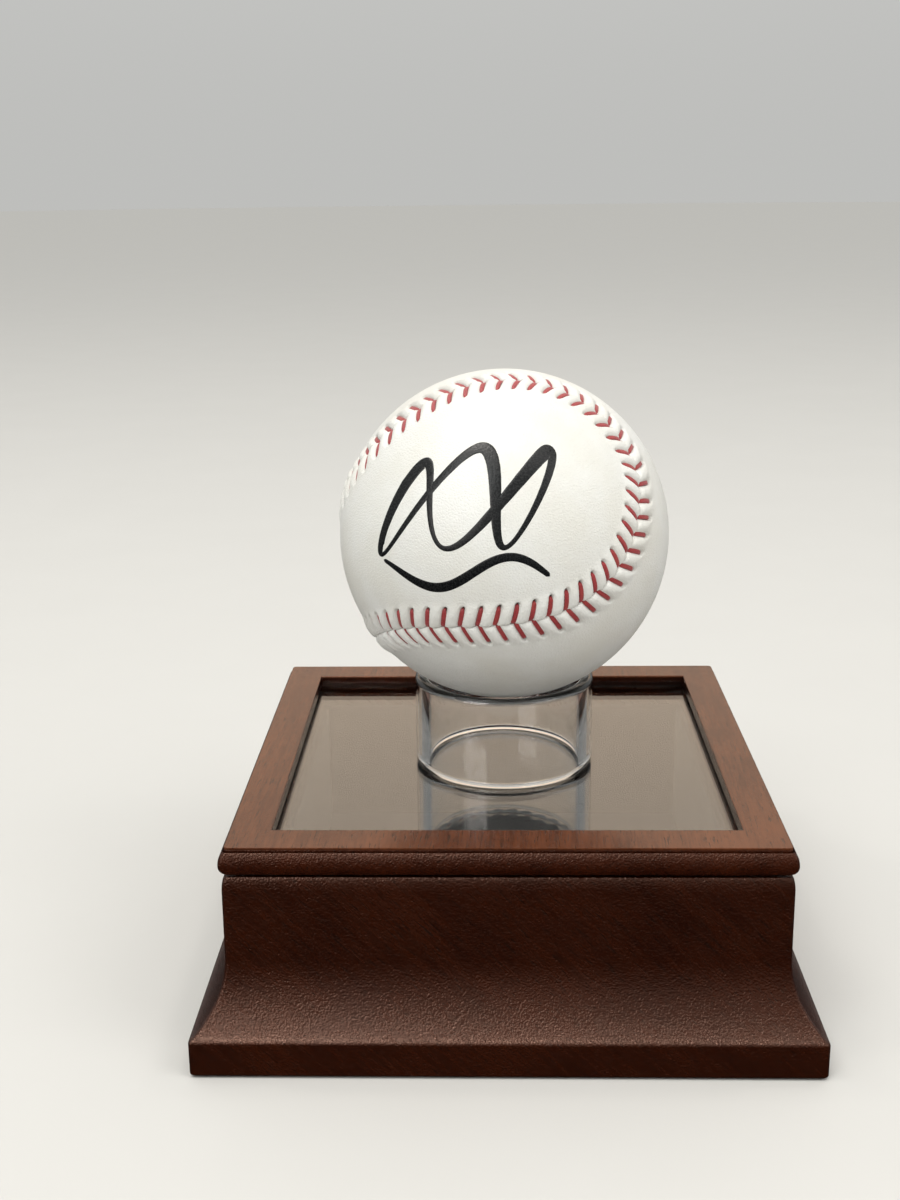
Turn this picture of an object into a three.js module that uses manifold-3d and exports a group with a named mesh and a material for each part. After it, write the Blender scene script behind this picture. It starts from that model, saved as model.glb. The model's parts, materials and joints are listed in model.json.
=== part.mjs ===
// A glass-topped keepsake box in dark mahogany. A clear ring stands on its glass and carries a
// stitched leather ball. Millimetres, +Z up, the front faces -Y, and the origin is at the centre
// of the surface that the box stands on.
import * as THREE from "three";
import { ParametricGeometry } from "three/addons/geometries/ParametricGeometry.js";
import { mergeVertices } from "three/addons/utils/BufferGeometryUtils.js";
import Module from "manifold-3d";

const wasm = await Module();
wasm.setup();

// Clearance between pieces that touch on the real object.
const GAP = 0.3;
// Distance between two mitre faces that meet at a corner, measured along a rail.
const MITRE_GAP = GAP / Math.SQRT2;
// How far a cutting tool stands proud of the face that it cuts.
const OVERSHOOT = 1;

// Levels of the box.
const BASE_UNDER_Z = 0.3;
const SEAT_Z = 41.3;
const LID_UNDER_Z = SEAT_Z + GAP;
const LID_TOP_Z = 47.65;

// Half widths of the box, measured from its middle to a face.
const WELL_HALF = 48.4;
const BODY_HALF = 57.85;
const SEAT_HALF = 57.1;
const LID_TOP_HALF = 57;
const PLINTH_HALF = 65;

// The cove that flares from the body to the plinth is an arc of a circle.
const COVE = { radius: 19.6, centreZ: 23, sweep: THREE.MathUtils.degToRad(47.6) };
const COVE_CENTRE = BODY_HALF + COVE.radius;
const PLINTH = { round: 1.2, faceTop: 6.8, noseZ: 7.8 };

// Above the cove the body rises nearly upright, then eases in to the seat under the lid.
const BODY_TOP = { half: BODY_HALF - 0.1, easeFrom: 36, kneeZ: 40 };

// The lid's edge is a round bead under a short upright step.
const BEAD = { half: 58.25, inner: 56.45, middleZ: 43.8, topZ: LID_TOP_Z - 0.74 };

// Underside: a panel in a rebate, held by four screws, and four felt pads let into the plinth.
const REBATE = { half: 54.4, top: 4.8 };
const PANEL = { under: 1.6, thick: 3 };
const PANEL_SCREW = { at: 51, head: 2.2, sink: 1.1, shank: 1.1, length: 11 };
const PAD = { at: 59.1, radius: 4, thick: 1 };

// Lining of the storage well.
const FLOOR = { under: PANEL.under + PANEL.thick + GAP, thick: 2.4 };
const LINER = { thick: 1.6, top: 38.5 };

// Lid window and its glass.
const GLASS = { half: 51.1, under: 42.8, top: 44.8 };
const STOP = { width: 2.1, top: GLASS.under - GAP };

// Brass butt hinges at the back, with their barrels outside the box.
const HINGE = { x: 32, length: 25, y: 59.8, z: SEAT_Z + GAP / 2, barrel: 1.5, pin: 0.6 };
const PIN_CAP = { length: 0.7, tip: 0.9, rim: 1.3 };
const LEAF = { front: 52, back: 57.95, thick: 0.8, knuckle: 7.9, lap: 0.5 };
const LEAF_SCREW = { x: 7.5, y: 54.7, head: 1.4, sink: 0.7, shank: 0.7, length: 5 };
const LID_SCREW = { ...LEAF_SCREW, length: 3.8 };

// Magnets in the front rail and the steel discs above them in the lid.
const MAGNET = { x: 30, y: -54.3, radius: 2, thick: 2 };
const DISC_THICK = 1.5;

// Clear ring and the ball on it.
const RING = { y: -1.5, inner: 17.6, outer: 20.6, height: 20.85, bevel: 0.4 };
const BALL = { radius: 37, cover: 1.3, core: 34.9 };
const SEAM = { neck: 0.4, thread: 0.45 };
// How the ball happens to lie, in degrees about X, then Y, then Z.
const BALL_TURN = [-162, -68.7, 45.9].map(THREE.MathUtils.degToRad);
const RING_UNDER_Z = GLASS.top + GAP;
const RING_TOP_Z = RING_UNDER_Z + RING.height;
const BALL_Z = RING_TOP_Z + GAP + Math.sqrt(BALL.radius ** 2 - RING.inner ** 2);

// How finely the curved pieces are divided.
const SEGMENTS = { frameCurve: 5, disc: 16, screw: 12, ring: 40, seam: 80, thread: 5 };
const CORE_SEGMENTS = [20, 14];
const COVER_GRID = { rows: 28, across: 12 };

const FINISHES = {
  mahogany: { color: 0x3a1a12, roughness: 0.35, metalness: 0 },
  hardboard: { color: 0x5a3c26, roughness: 0.9, metalness: 0 },
  velvet: { color: 0x0d0c0e, roughness: 1, metalness: 0 },
  felt: { color: 0x1a1a1c, roughness: 1, metalness: 0 },
  glass: { color: 0xd8e4e0, roughness: 0.05, metalness: 0, transparent: true, opacity: 0.35 },
  acrylic: { color: 0xf2f4f4, roughness: 0.05, metalness: 0, transparent: true, opacity: 0.35 },
  brass: { color: 0xb08a45, roughness: 0.35, metalness: 1 },
  steel: { color: 0xa8a9ab, roughness: 0.4, metalness: 1 },
  leather: { color: 0xe6e2d8, roughness: 0.5, metalness: 0 },
  thread: { color: 0xa5262a, roughness: 0.8, metalness: 0 },
  yarn: { color: 0xb9b3a4, roughness: 1, metalness: 0 },
};

const group = new THREE.Group();

// ---------------------------------------------------------------- helpers

// Keeps only positions, joins equal vertices and drops the triangles that have no area.
function closed(source) {
  const bare = source.clone();
  bare.deleteAttribute("normal");
  bare.deleteAttribute("uv");
  const merged = mergeVertices(bare, 1e-3);
  const corners = [...merged.index.array];
  const kept = [];
  for (let i = 0; i < corners.length; i += 3) {
    const [a, b, c] = corners.slice(i, i + 3);
    if (a !== b && b !== c && c !== a) kept.push(a, b, c);
  }
  merged.setIndex(kept);
  return merged;
}

function solid(geometry) {
  const shape = closed(geometry);
  const vertProperties = new Float32Array(shape.attributes.position.array);
  const triVerts = new Uint32Array(shape.index.array);
  return new wasm.Manifold(new wasm.Mesh({ numProp: 3, vertProperties, triVerts }));
}

function geometryOf(manifold) {
  const { vertProperties, triVerts } = manifold.getMesh();
  const geometry = new THREE.BufferGeometry();
  geometry.setAttribute("position", new THREE.BufferAttribute(vertProperties, 3));
  geometry.setIndex([...triVerts]);
  return geometry;
}

function cut(geometry, tools) {
  return geometryOf(tools.reduce((body, tool) => body.subtract(solid(tool)), solid(geometry)));
}

function join(geometries) {
  return geometryOf(geometries.map(solid).reduce((body, more) => body.add(more)));
}

function addMesh(name, geometry, finish, parent = group) {
  const material = new THREE.MeshStandardMaterial(FINISHES[finish]);
  const mesh = new THREE.Mesh(closed(geometry), material);
  mesh.name = name;
  parent.add(mesh);
  return mesh;
}

function box([x0, y0, z0], [x1, y1, z1]) {
  const geometry = new THREE.BoxGeometry(x1 - x0, y1 - y0, z1 - z0);
  return geometry.translate((x0 + x1) / 2, (y0 + y1) / 2, (z0 + z1) / 2);
}

function square(half, under, top) {
  return box([-half, -half, under], [half, half, top]);
}

// A solid of revolution about Z. The outline runs up the outside and down the inside.
function turned(points, segments, phase = 0) {
  const outline = points.map(([r, z]) => new THREE.Vector2(r, z));
  return new THREE.LatheGeometry(outline, segments, phase).rotateX(Math.PI / 2);
}

function disc(radius, under, thick) {
  const top = under + thick;
  return turned([[0, under], [radius, under], [radius, top], [0, top]], SEGMENTS.disc);
}

// A countersunk screw that points down from the face z = 0. A cutter for its hole is grown by
// the clearance and stands proud of the face.
function screw({ head, sink, shank, length }, grow = 0) {
  const tip = 2 * shank;
  return turned([
    [0, -length - grow],
    [shank + grow, tip - length],
    [shank + grow, -sink],
    [head + grow, 0],
    [head + grow, grow],
    [0, grow],
  ], SEGMENTS.screw);
}

// A straight rail of the given section (distance from the middle, height), mitred at both ends.
// It is made for the front of the box and turned about Z for the other sides.
function mitredRail(shape, turn, curveSegments = 4) {
  const rail = new THREE.ExtrudeGeometry(shape, { depth: 1, bevelEnabled: false, curveSegments });
  const position = rail.attributes.position;
  for (let i = 0; i < position.count; i += 1) {
    const out = position.getX(i);
    const along = (1 - 2 * position.getZ(i)) * (out - MITRE_GAP);
    position.setXYZ(i, along, -out, position.getY(i));
  }
  return rail.rotateZ(turn);
}

function rectangle(inner, outer, under, top) {
  const shape = new THREE.Shape();
  shape.moveTo(inner, under);
  shape.lineTo(outer, under);
  shape.lineTo(outer, top);
  shape.lineTo(inner, top);
  return shape;
}

const SIDES = { front: 0, right: Math.PI / 2, back: Math.PI, left: -Math.PI / 2 };

// ---------------------------------------------------------------- base

function mouldingSection() {
  const coveEnd = COVE_CENTRE - COVE.radius * Math.cos(COVE.sweep);
  const coveEndZ = COVE.centreZ - COVE.radius * Math.sin(COVE.sweep);
  const section = new THREE.Shape();
  section.moveTo(REBATE.half, BASE_UNDER_Z);
  section.lineTo(PLINTH_HALF - PLINTH.round, BASE_UNDER_Z);
  section.quadraticCurveTo(PLINTH_HALF, BASE_UNDER_Z, PLINTH_HALF, BASE_UNDER_Z + PLINTH.round);
  section.lineTo(PLINTH_HALF, PLINTH.faceTop);
  section.quadraticCurveTo(PLINTH_HALF, PLINTH.noseZ, coveEnd, coveEndZ);
  section.absarc(COVE_CENTRE, COVE.centreZ, COVE.radius, Math.PI + COVE.sweep, Math.PI, true);
  section.lineTo(BODY_TOP.half, BODY_TOP.easeFrom);
  section.quadraticCurveTo(BODY_TOP.half, BODY_TOP.kneeZ, SEAT_HALF, SEAT_Z);
  section.lineTo(WELL_HALF, SEAT_Z);
  section.lineTo(WELL_HALF, REBATE.top);
  section.lineTo(REBATE.half, REBATE.top);
  return section;
}

function panelScrew(turn, grow) {
  const placed = screw(PANEL_SCREW, grow).rotateX(Math.PI);
  return placed.translate(0, -PANEL_SCREW.at, PANEL.under).rotateZ(turn);
}

function leafScrews(screwSize, faceZ, pointsUp, grow) {
  return [-1, 1].flatMap((hinge) => [-1, 1].map((end) => {
    const placed = screw(screwSize, grow).rotateX(pointsUp ? Math.PI : 0);
    return placed.translate(hinge * HINGE.x + end * screwSize.x, screwSize.y, faceZ);
  }));
}

function leafRecesses(under, top) {
  const reach = HINGE.length / 2 + GAP;
  return [-1, 1].map((hinge) => box(
    [hinge * HINGE.x - reach, LEAF.front - GAP, under],
    [hinge * HINGE.x + reach, HINGE.y, top],
  ));
}

function magnetDisc(side, radius, under, thick) {
  return disc(radius, under, thick).translate(side * MAGNET.x, MAGNET.y, 0);
}

function pocket(side, under, depth) {
  return magnetDisc(side, MAGNET.radius + GAP, under, depth);
}

// Places a disc in each corner of the plinth, for a felt pad or the pocket that it sits in.
function cornerDiscs(radius, under, thick) {
  return [["front", -1], ["back", 1]].flatMap(([end, y]) => [["left", -1], ["right", 1]].map(
    ([side, x]) => {
      const placed = disc(radius, under, thick).translate(x * PAD.at, y * PAD.at, 0);
      return [`${end}_${side}`, placed];
    },
  ));
}

function padPockets() {
  const under = BASE_UNDER_Z - OVERSHOOT;
  return cornerDiscs(PAD.radius + GAP, under, PAD.thick + GAP - under).map(([, tool]) => tool);
}

function addMouldings() {
  const pocketDepth = MAGNET.thick + 2 * GAP;
  const cuts = {
    front: [-1, 1].map((side) => pocket(side, SEAT_Z - pocketDepth, pocketDepth + OVERSHOOT)),
    back: [
      ...leafRecesses(SEAT_Z - LEAF.thick - GAP, SEAT_Z + OVERSHOOT),
      ...leafScrews(LEAF_SCREW, SEAT_Z, false, GAP),
    ],
    left: [],
    right: [],
  };
  for (const [side, turn] of Object.entries(SIDES)) {
    const rail = mitredRail(mouldingSection(), turn);
    const tools = [panelScrew(turn, GAP), ...padPockets(), ...cuts[side]];
    addMesh(`${side}_moulding`, cut(rail, tools), "mahogany");
  }
}

function addUnderside() {
  const top = PANEL.under + PANEL.thick;
  const panel = square(REBATE.half - GAP, PANEL.under, top);
  const holes = Object.values(SIDES).map((turn) => panelScrew(turn, GAP));
  addMesh("bottom_panel", cut(panel, holes), "hardboard");
  for (const [side, turn] of Object.entries(SIDES)) {
    addMesh(`panel_screw_${side}`, panelScrew(turn, 0), "steel");
  }
  for (const [corner, pad] of cornerDiscs(PAD.radius, 0, PAD.thick)) {
    addMesh(`felt_pad_${corner}`, pad, "felt");
  }
}

function addLining() {
  const floorTop = FLOOR.under + FLOOR.thick;
  const outer = WELL_HALF - GAP;
  addMesh("well_floor", square(outer, FLOOR.under, floorTop), "velvet");
  const section = rectangle(outer - LINER.thick, outer, floorTop + GAP, LINER.top);
  for (const [side, turn] of Object.entries(SIDES)) {
    addMesh(`well_liner_${side}`, mitredRail(section, turn), "velvet");
  }
}

// ---------------------------------------------------------------- lid

function lidOutline() {
  const outline = new THREE.Path();
  outline.moveTo(GLASS.half + GAP, LID_UNDER_Z);
  outline.lineTo(BEAD.inner, LID_UNDER_Z);
  outline.quadraticCurveTo(BEAD.half, LID_UNDER_Z, BEAD.half, BEAD.middleZ);
  outline.quadraticCurveTo(BEAD.half, BEAD.topZ, LID_TOP_HALF, BEAD.topZ);
  outline.lineTo(LID_TOP_HALF, LID_TOP_Z);
  outline.lineTo(WELL_HALF, LID_TOP_Z);
  outline.lineTo(WELL_HALF, GLASS.top + GAP);
  outline.lineTo(GLASS.half + GAP, GLASS.top + GAP);
  outline.closePath();
  return outline.getPoints(SEGMENTS.frameCurve).map(({ x, y }) => [x * Math.SQRT2, y]);
}

function addLid() {
  // A lathe of four segments turns the section into a square frame.
  const frame = turned(lidOutline(), 4, Math.PI / 4);
  const cutFrom = LID_UNDER_Z - OVERSHOOT;
  const pocketDepth = DISC_THICK + 2 * GAP;
  const cuts = [
    ...leafRecesses(cutFrom, LID_UNDER_Z + LEAF.thick + GAP),
    ...leafScrews(LID_SCREW, LID_UNDER_Z, true, GAP),
    ...[-1, 1].map((side) => pocket(side, cutFrom, pocketDepth + OVERSHOOT)),
  ];
  addMesh("lid_frame", cut(frame, cuts), "mahogany");
  addMesh("glass_pane", square(GLASS.half, GLASS.under, GLASS.top), "glass");
  const section = rectangle(GLASS.half - STOP.width, GLASS.half, LID_UNDER_Z, STOP.top);
  for (const [side, turn] of Object.entries(SIDES)) {
    addMesh(`glass_stop_${side}`, mitredRail(section, turn), "mahogany");
  }
  const magnetUnder = SEAT_Z - GAP - MAGNET.thick;
  const discUnder = LID_UNDER_Z + GAP;
  for (const [name, side] of [["left", -1], ["right", 1]]) {
    addMesh(`magnet_${name}`, magnetDisc(side, MAGNET.radius, magnetUnder, MAGNET.thick), "steel");
    addMesh(`steel_disc_${name}`, magnetDisc(side, MAGNET.radius, discUnder, DISC_THICK), "steel");
  }
}

// ---------------------------------------------------------------- hinges

function barrel(radius, from, to) {
  const tube = disc(radius, from, to - from).rotateY(Math.PI / 2);
  return tube.translate(0, HINGE.y, HINGE.z);
}

// One leaf about x = 0: its plate, and a tab and a knuckle for each stretch of the barrel.
function hingeLeaf(under, knuckles, faceZ, pointsUp) {
  const half = HINGE.length / 2;
  const top = under + LEAF.thick;
  const plate = box([-half, LEAF.front, under], [half, LEAF.back, top]);
  const parts = knuckles.flatMap(([from, to]) => [
    box([from, LEAF.back - LEAF.lap, under], [to, HINGE.y - HINGE.pin - GAP, top]),
    barrel(HINGE.barrel, from, to),
  ]);
  const holes = [-1, 1].map((end) => screw(LEAF_SCREW, GAP)
    .rotateX(pointsUp ? Math.PI : 0)
    .translate(end * LEAF_SCREW.x, LEAF_SCREW.y, faceZ));
  const bore = barrel(HINGE.pin + GAP, -half - OVERSHOOT, half + OVERSHOOT);
  return cut(join([plate, ...parts]), [bore, ...holes]);
}

function hingePin() {
  const reach = HINGE.length / 2 + GAP;
  const end = [
    [0, -reach - PIN_CAP.length],
    [PIN_CAP.tip, -reach - PIN_CAP.length],
    [PIN_CAP.rim, -reach],
    [HINGE.pin, -reach],
  ];
  const otherEnd = end.map(([r, z]) => [r, -z]).reverse();
  const pin = turned([...end, ...otherEnd], SEGMENTS.screw).rotateY(Math.PI / 2);
  return pin.translate(0, HINGE.y, HINGE.z);
}

function addHinges() {
  const half = HINGE.length / 2;
  const middle = LEAF.knuckle / 2;
  const outer = [[-half, -middle - GAP], [middle + GAP, half]];
  for (const [name, side] of [["left", -1], ["right", 1]]) {
    const leaves = {
      hinge_base_leaf: hingeLeaf(SEAT_Z - LEAF.thick, outer, SEAT_Z, false),
      hinge_lid_leaf: hingeLeaf(LID_UNDER_Z, [[-middle, middle]], LID_UNDER_Z, true),
      hinge_pin: hingePin(),
    };
    for (const [piece, geometry] of Object.entries(leaves)) {
      addMesh(`${piece}_${name}`, geometry, "brass").position.x = side * HINGE.x;
    }
  }
  const places = ["left_outer", "left_inner", "right_inner", "right_outer"];
  leafScrews(LEAF_SCREW, SEAT_Z, false, 0).forEach((geometry, i) => {
    addMesh(`base_leaf_screw_${places[i]}`, geometry, "brass");
  });
  leafScrews(LID_SCREW, LID_UNDER_Z, true, 0).forEach((geometry, i) => {
    addMesh(`lid_leaf_screw_${places[i]}`, geometry, "brass");
  });
}

// ---------------------------------------------------------------- ring and ball

function addRing() {
  const { inner, outer, bevel } = RING;
  const ring = addMesh("acrylic_ring", turned([
    [inner + bevel, RING_UNDER_Z],
    [outer - bevel, RING_UNDER_Z],
    [outer, RING_UNDER_Z + bevel],
    [outer, RING_TOP_Z - bevel],
    [outer - bevel, RING_TOP_Z],
    [inner, RING_TOP_Z],
    [inner, RING_UNDER_Z + bevel],
    [inner + bevel, RING_UNDER_Z],
  ], SEGMENTS.ring), "acrylic");
  ring.position.y = RING.y;
}

// The seam is one closed curve on the unit sphere, for t from 0 to 4 pi.
function seamPoint(t) {
  const polar = Math.PI / 2 - (Math.PI / 2 - SEAM.neck) * Math.cos(t);
  const azimuth = t / 2 + SEAM.neck * Math.sin(2 * t);
  return new THREE.Vector3(
    Math.sin(polar) * Math.cos(azimuth),
    Math.sin(polar) * Math.sin(azimuth),
    Math.cos(polar),
  );
}

// Unit vector across the seam, on the sphere, towards the cover that holds +Z.
function seamSide(t) {
  return seamPoint(t).cross(seamPoint(t + 1e-3)).normalize();
}

function threadGeometry() {
  const centre = BALL.radius - BALL.cover / 2;
  return new ParametricGeometry((u, v, target) => {
    const t = 4 * Math.PI * (u % 1);
    const angle = 2 * Math.PI * (v % 1);
    target.copy(seamPoint(t)).multiplyScalar(centre + SEAM.thread * Math.cos(angle));
    target.addScaledVector(seamSide(t), SEAM.thread * Math.sin(angle));
  }, SEGMENTS.seam, SEGMENTS.thread);
}

// One of the two equal figure-eight covers, as a shell that is swept along its spine. Its
// section is an arc of the outer sphere and back along the inner one, and it shrinks to a line
// at both ends.
function coverGeometry() {
  const inset = (SEAM.thread + GAP) / BALL.radius;
  const { rows, across } = COVER_GRID;
  const loop = 2 * (across + 1);
  return new ParametricGeometry((u, v, target) => {
    const along = 2 * u - 1;
    const t = Math.PI * Math.abs(along);
    const edge = seamPoint(t).addScaledVector(seamSide(t), inset).normalize();
    const spine = Math.hypot(edge.y, edge.z);
    const step = Math.round((1 - v) * loop) % loop;
    const outside = step <= across;
    const sweep = (outside ? step : loop - 1 - step) / across;
    const tilt = (2 * sweep - 1) * Math.asin(edge.x);
    target.set(
      Math.sin(tilt),
      Math.sign(along) * Math.cos(tilt) * edge.y / spine,
      Math.cos(tilt) * edge.z / spine,
    );
    target.multiplyScalar(outside ? BALL.radius : BALL.radius - BALL.cover);
  }, rows, loop);
}

function addBall() {
  const ball = new THREE.Group();
  ball.position.set(0, RING.y, BALL_Z);
  ball.rotation.set(...BALL_TURN);
  addMesh("ball_core", new THREE.SphereGeometry(BALL.core, ...CORE_SEGMENTS), "yarn", ball);
  addMesh("ball_cover_a", coverGeometry(), "leather", ball);
  const second = addMesh("ball_cover_b", coverGeometry(), "leather", ball);
  second.quaternion.setFromAxisAngle(new THREE.Vector3(1, 1, 0).normalize(), Math.PI);
  addMesh("seam_thread", threadGeometry(), "thread", ball);
  group.add(ball);
}

addMouldings();
addUnderside();
addLining();
addLid();
addHinges();
addRing();
addBall();

export default group;
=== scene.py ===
"""Looks of a glass-topped keepsake box in dark mahogany, with a clear ring and a stitched ball.

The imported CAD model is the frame. Shapes are worked out in millimetres and written in metres.
"""
import json
import math

import bmesh
import bpy
import numpy as np
from mathutils import Matrix, Vector


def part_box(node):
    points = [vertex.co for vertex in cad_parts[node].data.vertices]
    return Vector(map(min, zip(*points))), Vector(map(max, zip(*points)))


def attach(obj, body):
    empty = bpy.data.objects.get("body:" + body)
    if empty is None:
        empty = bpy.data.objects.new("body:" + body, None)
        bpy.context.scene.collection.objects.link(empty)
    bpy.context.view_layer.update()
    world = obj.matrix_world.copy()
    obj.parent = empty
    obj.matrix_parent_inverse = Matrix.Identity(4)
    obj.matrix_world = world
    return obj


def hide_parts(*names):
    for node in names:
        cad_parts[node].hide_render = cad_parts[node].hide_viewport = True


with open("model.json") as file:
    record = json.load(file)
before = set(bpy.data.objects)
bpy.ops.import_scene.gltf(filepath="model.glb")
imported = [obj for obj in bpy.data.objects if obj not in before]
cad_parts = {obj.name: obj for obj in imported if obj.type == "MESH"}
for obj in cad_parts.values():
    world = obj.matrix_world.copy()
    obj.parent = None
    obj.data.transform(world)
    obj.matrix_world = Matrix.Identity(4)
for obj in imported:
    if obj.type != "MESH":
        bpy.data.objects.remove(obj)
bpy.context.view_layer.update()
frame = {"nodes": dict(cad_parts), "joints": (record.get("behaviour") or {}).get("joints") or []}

MM = 0.001
SIDES = {"front": 0, "right": 90, "back": 180, "left": 270}
CORNERS = ("front_left", "front_right", "back_left", "back_right")
ENDS = ("left", "right")


def box_mm(node):
    """The lowest and highest corner of a CAD node, in millimetres."""
    low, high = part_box(node)
    return np.array(low) / MM, np.array(high) / MM


def disc_mm(node):
    """An upright round CAD node's middle seen from above, its radius and its two levels."""
    low, high = box_mm(node)
    middle = (low + high) / 2
    return (middle[0], middle[1], 0), (high[0] - low[0]) / 2, low[2], high[2]


# ------------------------ dimensions

# From the frame.
MOULDING_LOW, MOULDING_HIGH = box_mm("front_moulding")
PLINTH_HALF = -MOULDING_LOW[1]
WELL_HALF = -MOULDING_HIGH[1]
BASE_UNDER, SEAT = MOULDING_LOW[2], MOULDING_HIGH[2]
LID_LOW, LID_HIGH = box_mm("lid_frame")
BEAD_HALF, LID_UNDER, LID_TOP = LID_HIGH[0], LID_LOW[2], LID_HIGH[2]
GLASS_LOW, GLASS_HIGH = box_mm("glass_pane")
PANEL_LOW, PANEL_HIGH = box_mm("bottom_panel")
RING_LOW, RING_HIGH = box_mm("acrylic_ring")
RING_CENTRE = (RING_LOW + RING_HIGH) / 2
CORE_LOW, CORE_HIGH = box_mm("ball_core")
BALL_CENTRE = np.array([RING_CENTRE[0], RING_CENTRE[1], (CORE_LOW[2] + CORE_HIGH[2]) / 2])
HINGE_JOINT = next(j for j in frame["joints"] if j["name"] == "lid_hinge")
HINGE_Y, HINGE_Z = HINGE_JOINT["pos_m"][1] / MM, HINGE_JOINT["pos_m"][2] / MM

# Rebates for the bottom panel and the glass, a little wider than what lies in them.
REBATE_HALF = PANEL_HIGH[0] + 0.3
REBATE_TOP = PANEL_HIGH[2] + 0.2
GLASS_REBATE_HALF = GLASS_HIGH[0] + 0.3
GLASS_REBATE_TOP = GLASS_HIGH[2] + 0.12

# The base's section: plinth, cove and body, which eases in under the lid.
PLINTH_EASE, NOSE_RADIUS, NOSE_DROP = 0.7, 0.9, 1.05
BODY_HALF = 57.85
COVE_RADIUS, COVE_Z, COVE_SWEEP = 19.6, 23.0, math.radians(47.0)
BODY_UPRIGHT_TO, SEAT_EASE, SEAT_HALF = 31.0, 3.5, 57.0
WELL_EDGE = 0.3

# The lid's section: a bead, a narrow groove that parts it from the flat top, and the window.
LID_FLAT_HALF = 57.0
BEAD_DEPTH, BEAD_MIDDLE, BEAD_BELOW_TOP, BEAD_END = 1.8, 2.2, 0.62, 62
GROOVE_WIDTH, GROOVE_DEPTH = 0.12, 1.45
LID_EDGE, WINDOW_EDGE = 0.14, 0.28

# Corners of the square frames are rounded beyond a distance from the middle.
CORNER_RADIUS, CORNER_FROM = 0.9, 56.0

# Hinges: half the middle knuckle, its play, the leaf's thickness and the bore for the pin.
KNUCKLE_HALF, KNUCKLE_PLAY, LEAF_THICK, HINGE_BORE = 3.95, 0.12, 0.8, 0.72
PANEL_SHANK, LEAF_SHANK = 1.1, 0.7

RING_INNER, RING_EDGE = 17.6, 1.3

# The ball and the curve of its seam, as in the CAD model.
BALL_RADIUS, LEATHER = 37.0, 1.3
SEAM_NECK = 0.4
BALL_TURN = (-162.0, -68.7, 45.9)

# The stitches: how many, how far out their holes lie, and how they lean along the seam.
STITCHES = 108
HOLE_OUT = 4.1
STITCH_LEAN = 0.36

# Leather beside the seam: pillows between the stitches, the valleys under them, and the holes.
PILLOW_RADIUS, CREST, VALLEY = 1.6, 0.62, -0.90
HOLE_DEPTH, PULL_DEPTH, LEATHER_DROP = 1.15, 0.10, 0.08

# Stations of a stitch's leg: distance from the seam, height above the ball, half width.
STITCH_STATIONS = (
    (4.30, -1.10, 0.22), (4.22, -0.80, 0.31), (4.05, -0.52, 0.42), (3.70, -0.38, 0.49),
    (3.20, -0.32, 0.52), (2.60, -0.29, 0.53), (2.00, -0.27, 0.53), (1.40, -0.28, 0.52),
    (0.85, -0.33, 0.50), (0.40, -0.45, 0.46), (0.12, -0.68, 0.40), (-0.05, -1.00, 0.30),
)
THREAD_HALF_THICK = 0.27

# The camera: place in metres, turns in degrees, lens and sensor in millimetres.
CAMERA_PLACE = (-0.00385, -0.3277, 0.1769)
CAMERA_PITCH, CAMERA_YAW, CAMERA_ROLL = 16.01, -1.49, -0.61
CAMERA_LENS, CAMERA_SENSOR = 44.44, 36.0

rng = np.random.default_rng(7)


# ------------------------ shader helper


class Shader:
    """A material and short ways to add nodes to it."""

    def __init__(self, name, colour, roughness=0.5, **sockets):
        self.material = bpy.data.materials.new(name)
        self.material.use_nodes = True
        self.tree = self.material.node_tree
        self.bsdf = self.tree.nodes["Principled BSDF"]
        self.bsdf.inputs["Base Color"].default_value = (*colour, 1)
        self.bsdf.inputs["Roughness"].default_value = roughness
        for socket, value in sockets.items():
            self.bsdf.inputs[socket.replace("_", " ")].default_value = value
        self.material.diffuse_color = (*colour, 1)

    def node(self, kind, inputs=(), **settings):
        made = self.tree.nodes.new("ShaderNode" + kind)
        for key, value in settings.items():
            setattr(made, key, value)
        for key, value in dict(inputs).items():
            if isinstance(value, bpy.types.NodeSocket):
                self.tree.links.new(value, made.inputs[key])
            else:
                made.inputs[key].default_value = value
        return made

    def coords(self, scale=(1, 1, 1), turn=(0, 0, 0)):
        """Row-frame coordinates in millimetres, turned and then scaled."""
        place = self.node("TexCoord").outputs["Object"]
        millimetres = self.node("VectorMath", {0: place, "Scale": 1 / MM}, operation="SCALE")
        turned = self.node(
            "Mapping", {"Vector": millimetres.outputs[0], "Rotation": turn}, vector_type="POINT"
        )
        return self.node(
            "VectorMath", {0: turned.outputs[0], 1: scale}, operation="MULTIPLY"
        ).outputs[0]

    def noise(self, vector, scale=1.0, detail=3.0, roughness=0.55):
        inputs = {"Vector": vector, "Scale": scale, "Detail": detail, "Roughness": roughness}
        return self.node("TexNoise", inputs).outputs["Fac"]

    def ramp(self, value, low, high, start=0.0, end=1.0):
        inputs = {"Value": value, "From Min": low, "From Max": high, "To Min": start, "To Max": end}
        return self.node("MapRange", inputs, interpolation_type="SMOOTHSTEP").outputs["Result"]

    def maths(self, operation, a, b=0.0):
        return self.node("Math", {0: a, 1: b}, operation=operation).outputs[0]

    def mix(self, factor, a, b):
        inputs = {0: factor}
        for socket, colour in ((6, a), (7, b)):
            inputs[socket] = (*colour, 1) if isinstance(colour, tuple) else colour
        return self.node("Mix", inputs, data_type="RGBA").outputs[2]

    def set(self, socket, value):
        self.tree.links.new(value, self.bsdf.inputs[socket])

    def bump(self, *layers):
        """Adds bump layers, each (height, depth in millimetres, strength)."""
        normal = None
        for height, depth, strength in layers:
            inputs = {"Height": height, "Distance": depth * MM, "Strength": strength}
            if normal is not None:
                inputs["Normal"] = normal
            normal = self.node("Bump", inputs).outputs["Normal"]
        self.set("Normal", normal)
        return self.material


# ------------------------ mesh helpers


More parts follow.
